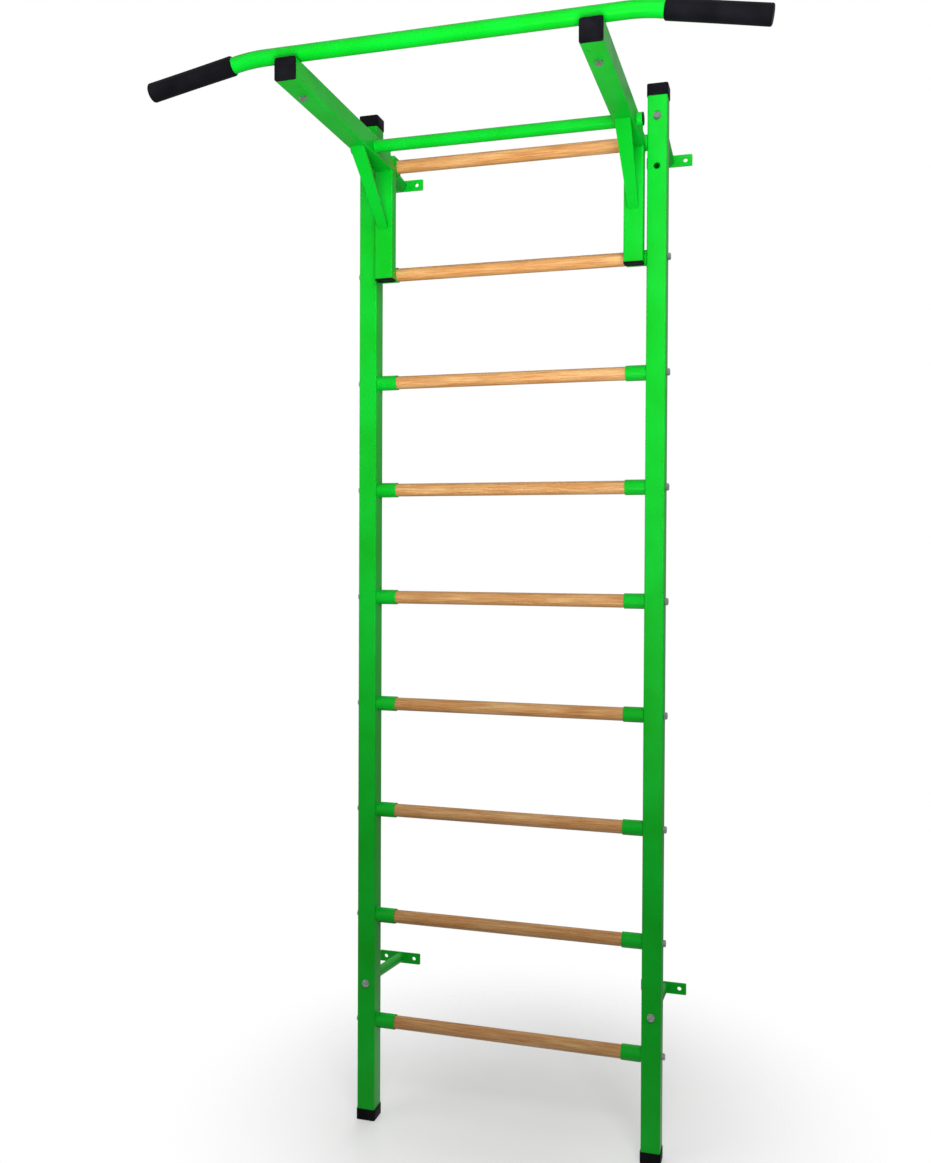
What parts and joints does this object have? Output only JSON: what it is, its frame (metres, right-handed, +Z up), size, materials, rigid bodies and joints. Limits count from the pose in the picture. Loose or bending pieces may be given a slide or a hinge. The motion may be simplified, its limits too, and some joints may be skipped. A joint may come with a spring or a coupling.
{
  "type": "wall-mounted gymnastic ladder with pull-up frame",
  "caption": "Wall bars with wooden rungs between green steel posts, wall brackets, and a hang-on pull-up frame with a bent bar and grips.",
  "frame": {"origin": "centre of the rectangle of wall-screw holes, on the wall plane: midway between the posts and between the upper and lower wall plates", "axes": "+X to the right seen from the room, +Y into the wall, +Z up"},
  "size_m": [1.1062, 0.713, 2.2],
  "materials": {
    "green_paint": "glossy powder coat with fine orange peel",
    "beech": "clear satin lacquer",
    "black_plastic": "moulded, satin",
    "grip_rubber": "smooth soft grip",
    "zinc_steel": "bright zinc plated"
  },
  "bodies": {
    "ladder": {"left_post": "green_paint", "right_post": "green_paint", "left_top_cap": "black_plastic", "right_top_cap": "black_plastic", "left_foot_cap": "black_plastic", "right_foot_cap": "black_plastic", "left_rung_sleeves": "green_paint", "right_rung_sleeves": "green_paint", "rung_1": "beech", "rung_2": "beech", "rung_3": "beech", "rung_4": "beech", "rung_5": "beech", "rung_6": "beech", "rung_7": "beech", "rung_8": "beech", "rung_9": "beech", "left_rung_bolts": "zinc_steel", "right_rung_bolts": "zinc_steel", "left_rung_washers": "zinc_steel", "right_rung_washers": "zinc_steel", "left_rung_inserts": "zinc_steel", "right_rung_inserts": "zinc_steel", "upper_left_standoff": "green_paint", "upper_right_standoff": "green_paint", "lower_left_standoff": "green_paint", "lower_right_standoff": "green_paint", "upper_left_wall_plate": "green_paint", "upper_right_wall_plate": "green_paint", "lower_left_wall_plate": "green_paint", "lower_right_wall_plate": "green_paint", "bracket_bolts": "zinc_steel", "bracket_washers": "zinc_steel"},
    "pull_up_frame": {"left_arm": "green_paint", "right_arm": "green_paint", "left_hanger": "green_paint", "right_hanger": "green_paint", "left_brace": "green_paint", "right_brace": "green_paint", "left_hook": "green_paint", "right_hook": "green_paint", "cross_tube": "green_paint", "cross_tube_plugs": "black_plastic", "left_arm_plug": "black_plastic", "right_arm_plug": "black_plastic", "left_hanger_plug": "black_plastic", "right_hanger_plug": "black_plastic", "pull_up_bar": "green_paint", "left_grip": "grip_rubber", "right_grip": "grip_rubber", "left_bar_tab": "green_paint", "right_bar_tab": "green_paint", "bar_bolts": "zinc_steel", "bar_bolt_washers": "zinc_steel", "bar_bolt_nuts": "zinc_steel"}
  },
  "joints": [
    {"name": "frame_lift", "type": "slide", "parent": "ladder", "child": "pull_up_frame", "axis": [0, 0, 1], "range_m": [0, 0.3]}
  ]
}
